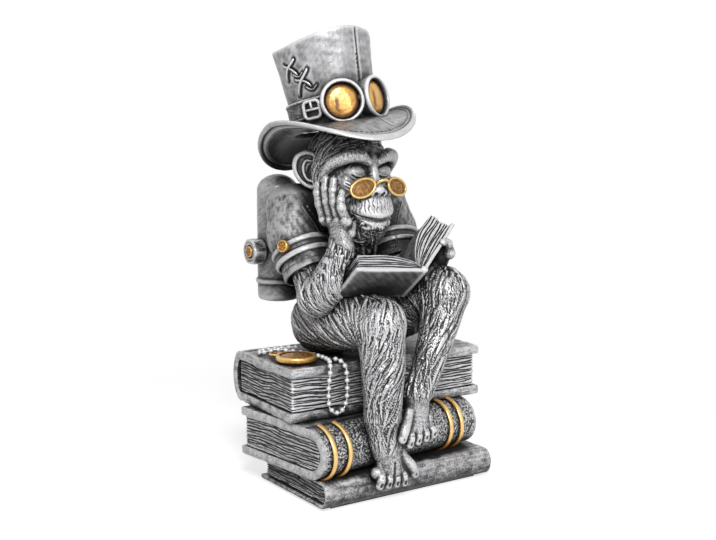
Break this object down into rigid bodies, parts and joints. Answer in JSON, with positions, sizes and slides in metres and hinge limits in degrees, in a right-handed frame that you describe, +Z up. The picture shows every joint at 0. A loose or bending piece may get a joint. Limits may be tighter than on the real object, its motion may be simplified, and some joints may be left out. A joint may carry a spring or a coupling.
{
  "type": "ape figurine",
  "caption": "Ape in a top hat with goggles and a short-sleeved jacket, seated on a stack of books and reading, silver and gold finish.",
  "frame": {"origin": "near the centre of the underside, on the surface that the figurine stands on", "axes": "+Z up; the ape faces -Y; +X runs along the spines of the books, towards the ape's left hand"},
  "size_m": [0.1132, 0.0956, 0.2186],
  "materials": {
    "antique_gold": "antique gold paint with brown shading, satin",
    "antique_silver": "antique silver paint, dark wash in the hollows, bright raised edges",
    "base_felt": "dark felt",
    "bead_metal": "bright metal ball chain",
    "bright_silver": "bright silver paint, slightly worn",
    "dark_silver": "darker antique silver paint, mottled, worn bright along seams and hems",
    "page_silver": "silver paint over grooved page edges, black wash between the leaves"
  },
  "bodies": {
    "root": {"tank_right": "antique_silver", "tank_nut_right": "antique_silver", "tank_stud_right": "antique_gold", "tank_left": "antique_silver", "tank_nut_left": "antique_silver", "tank_stud_left": "antique_gold", "tank_bracket": "antique_silver", "torso": "antique_silver", "jacket": "dark_silver", "jacket_collar": "dark_silver", "right_thigh": "antique_silver", "right_shin": "antique_silver", "right_foot": "antique_silver", "right_sleeve": "dark_silver", "right_sleeve_strap": "antique_silver", "right_sleeve_stud": "antique_gold", "right_forearm": "antique_silver", "right_hand": "antique_silver", "right_ear": "antique_silver", "left_thigh": "antique_silver", "left_shin": "antique_silver", "left_foot": "antique_silver", "left_sleeve": "dark_silver", "left_sleeve_strap": "antique_silver", "left_sleeve_stud": "antique_gold", "left_forearm": "antique_silver", "left_hand": "antique_silver", "left_ear": "antique_silver", "open_book_cover": "dark_silver", "open_book_pages_right": "page_silver", "open_book_pages_left": "page_silver", "head": "antique_silver", "hat_crown": "antique_silver", "hat_brim": "antique_silver", "hat_band": "antique_silver", "hat_buckle": "bright_silver", "goggle_rim_right": "bright_silver", "goggle_lens_right": "antique_gold", "goggle_rim_left": "bright_silver", "goggle_lens_left": "antique_gold", "goggle_bridge": "bright_silver", "spectacles_frame": "antique_gold", "spectacles_lens_right": "antique_gold", "spectacles_lens_left": "antique_gold", "pocket_watch": "antique_gold", "bead_chain": "bead_metal", "felt_pad": "base_felt", "bottom_book_cover": "antique_silver", "bottom_book_pages": "page_silver", "middle_book_cover": "antique_silver", "middle_book_pages": "page_silver", "spine_band_1": "antique_gold", "spine_band_2": "antique_gold", "spine_band_3": "antique_gold", "spine_band_4": "antique_gold", "top_book_cover": "antique_silver", "top_book_pages": "page_silver"}
  },
  "joints": []
}
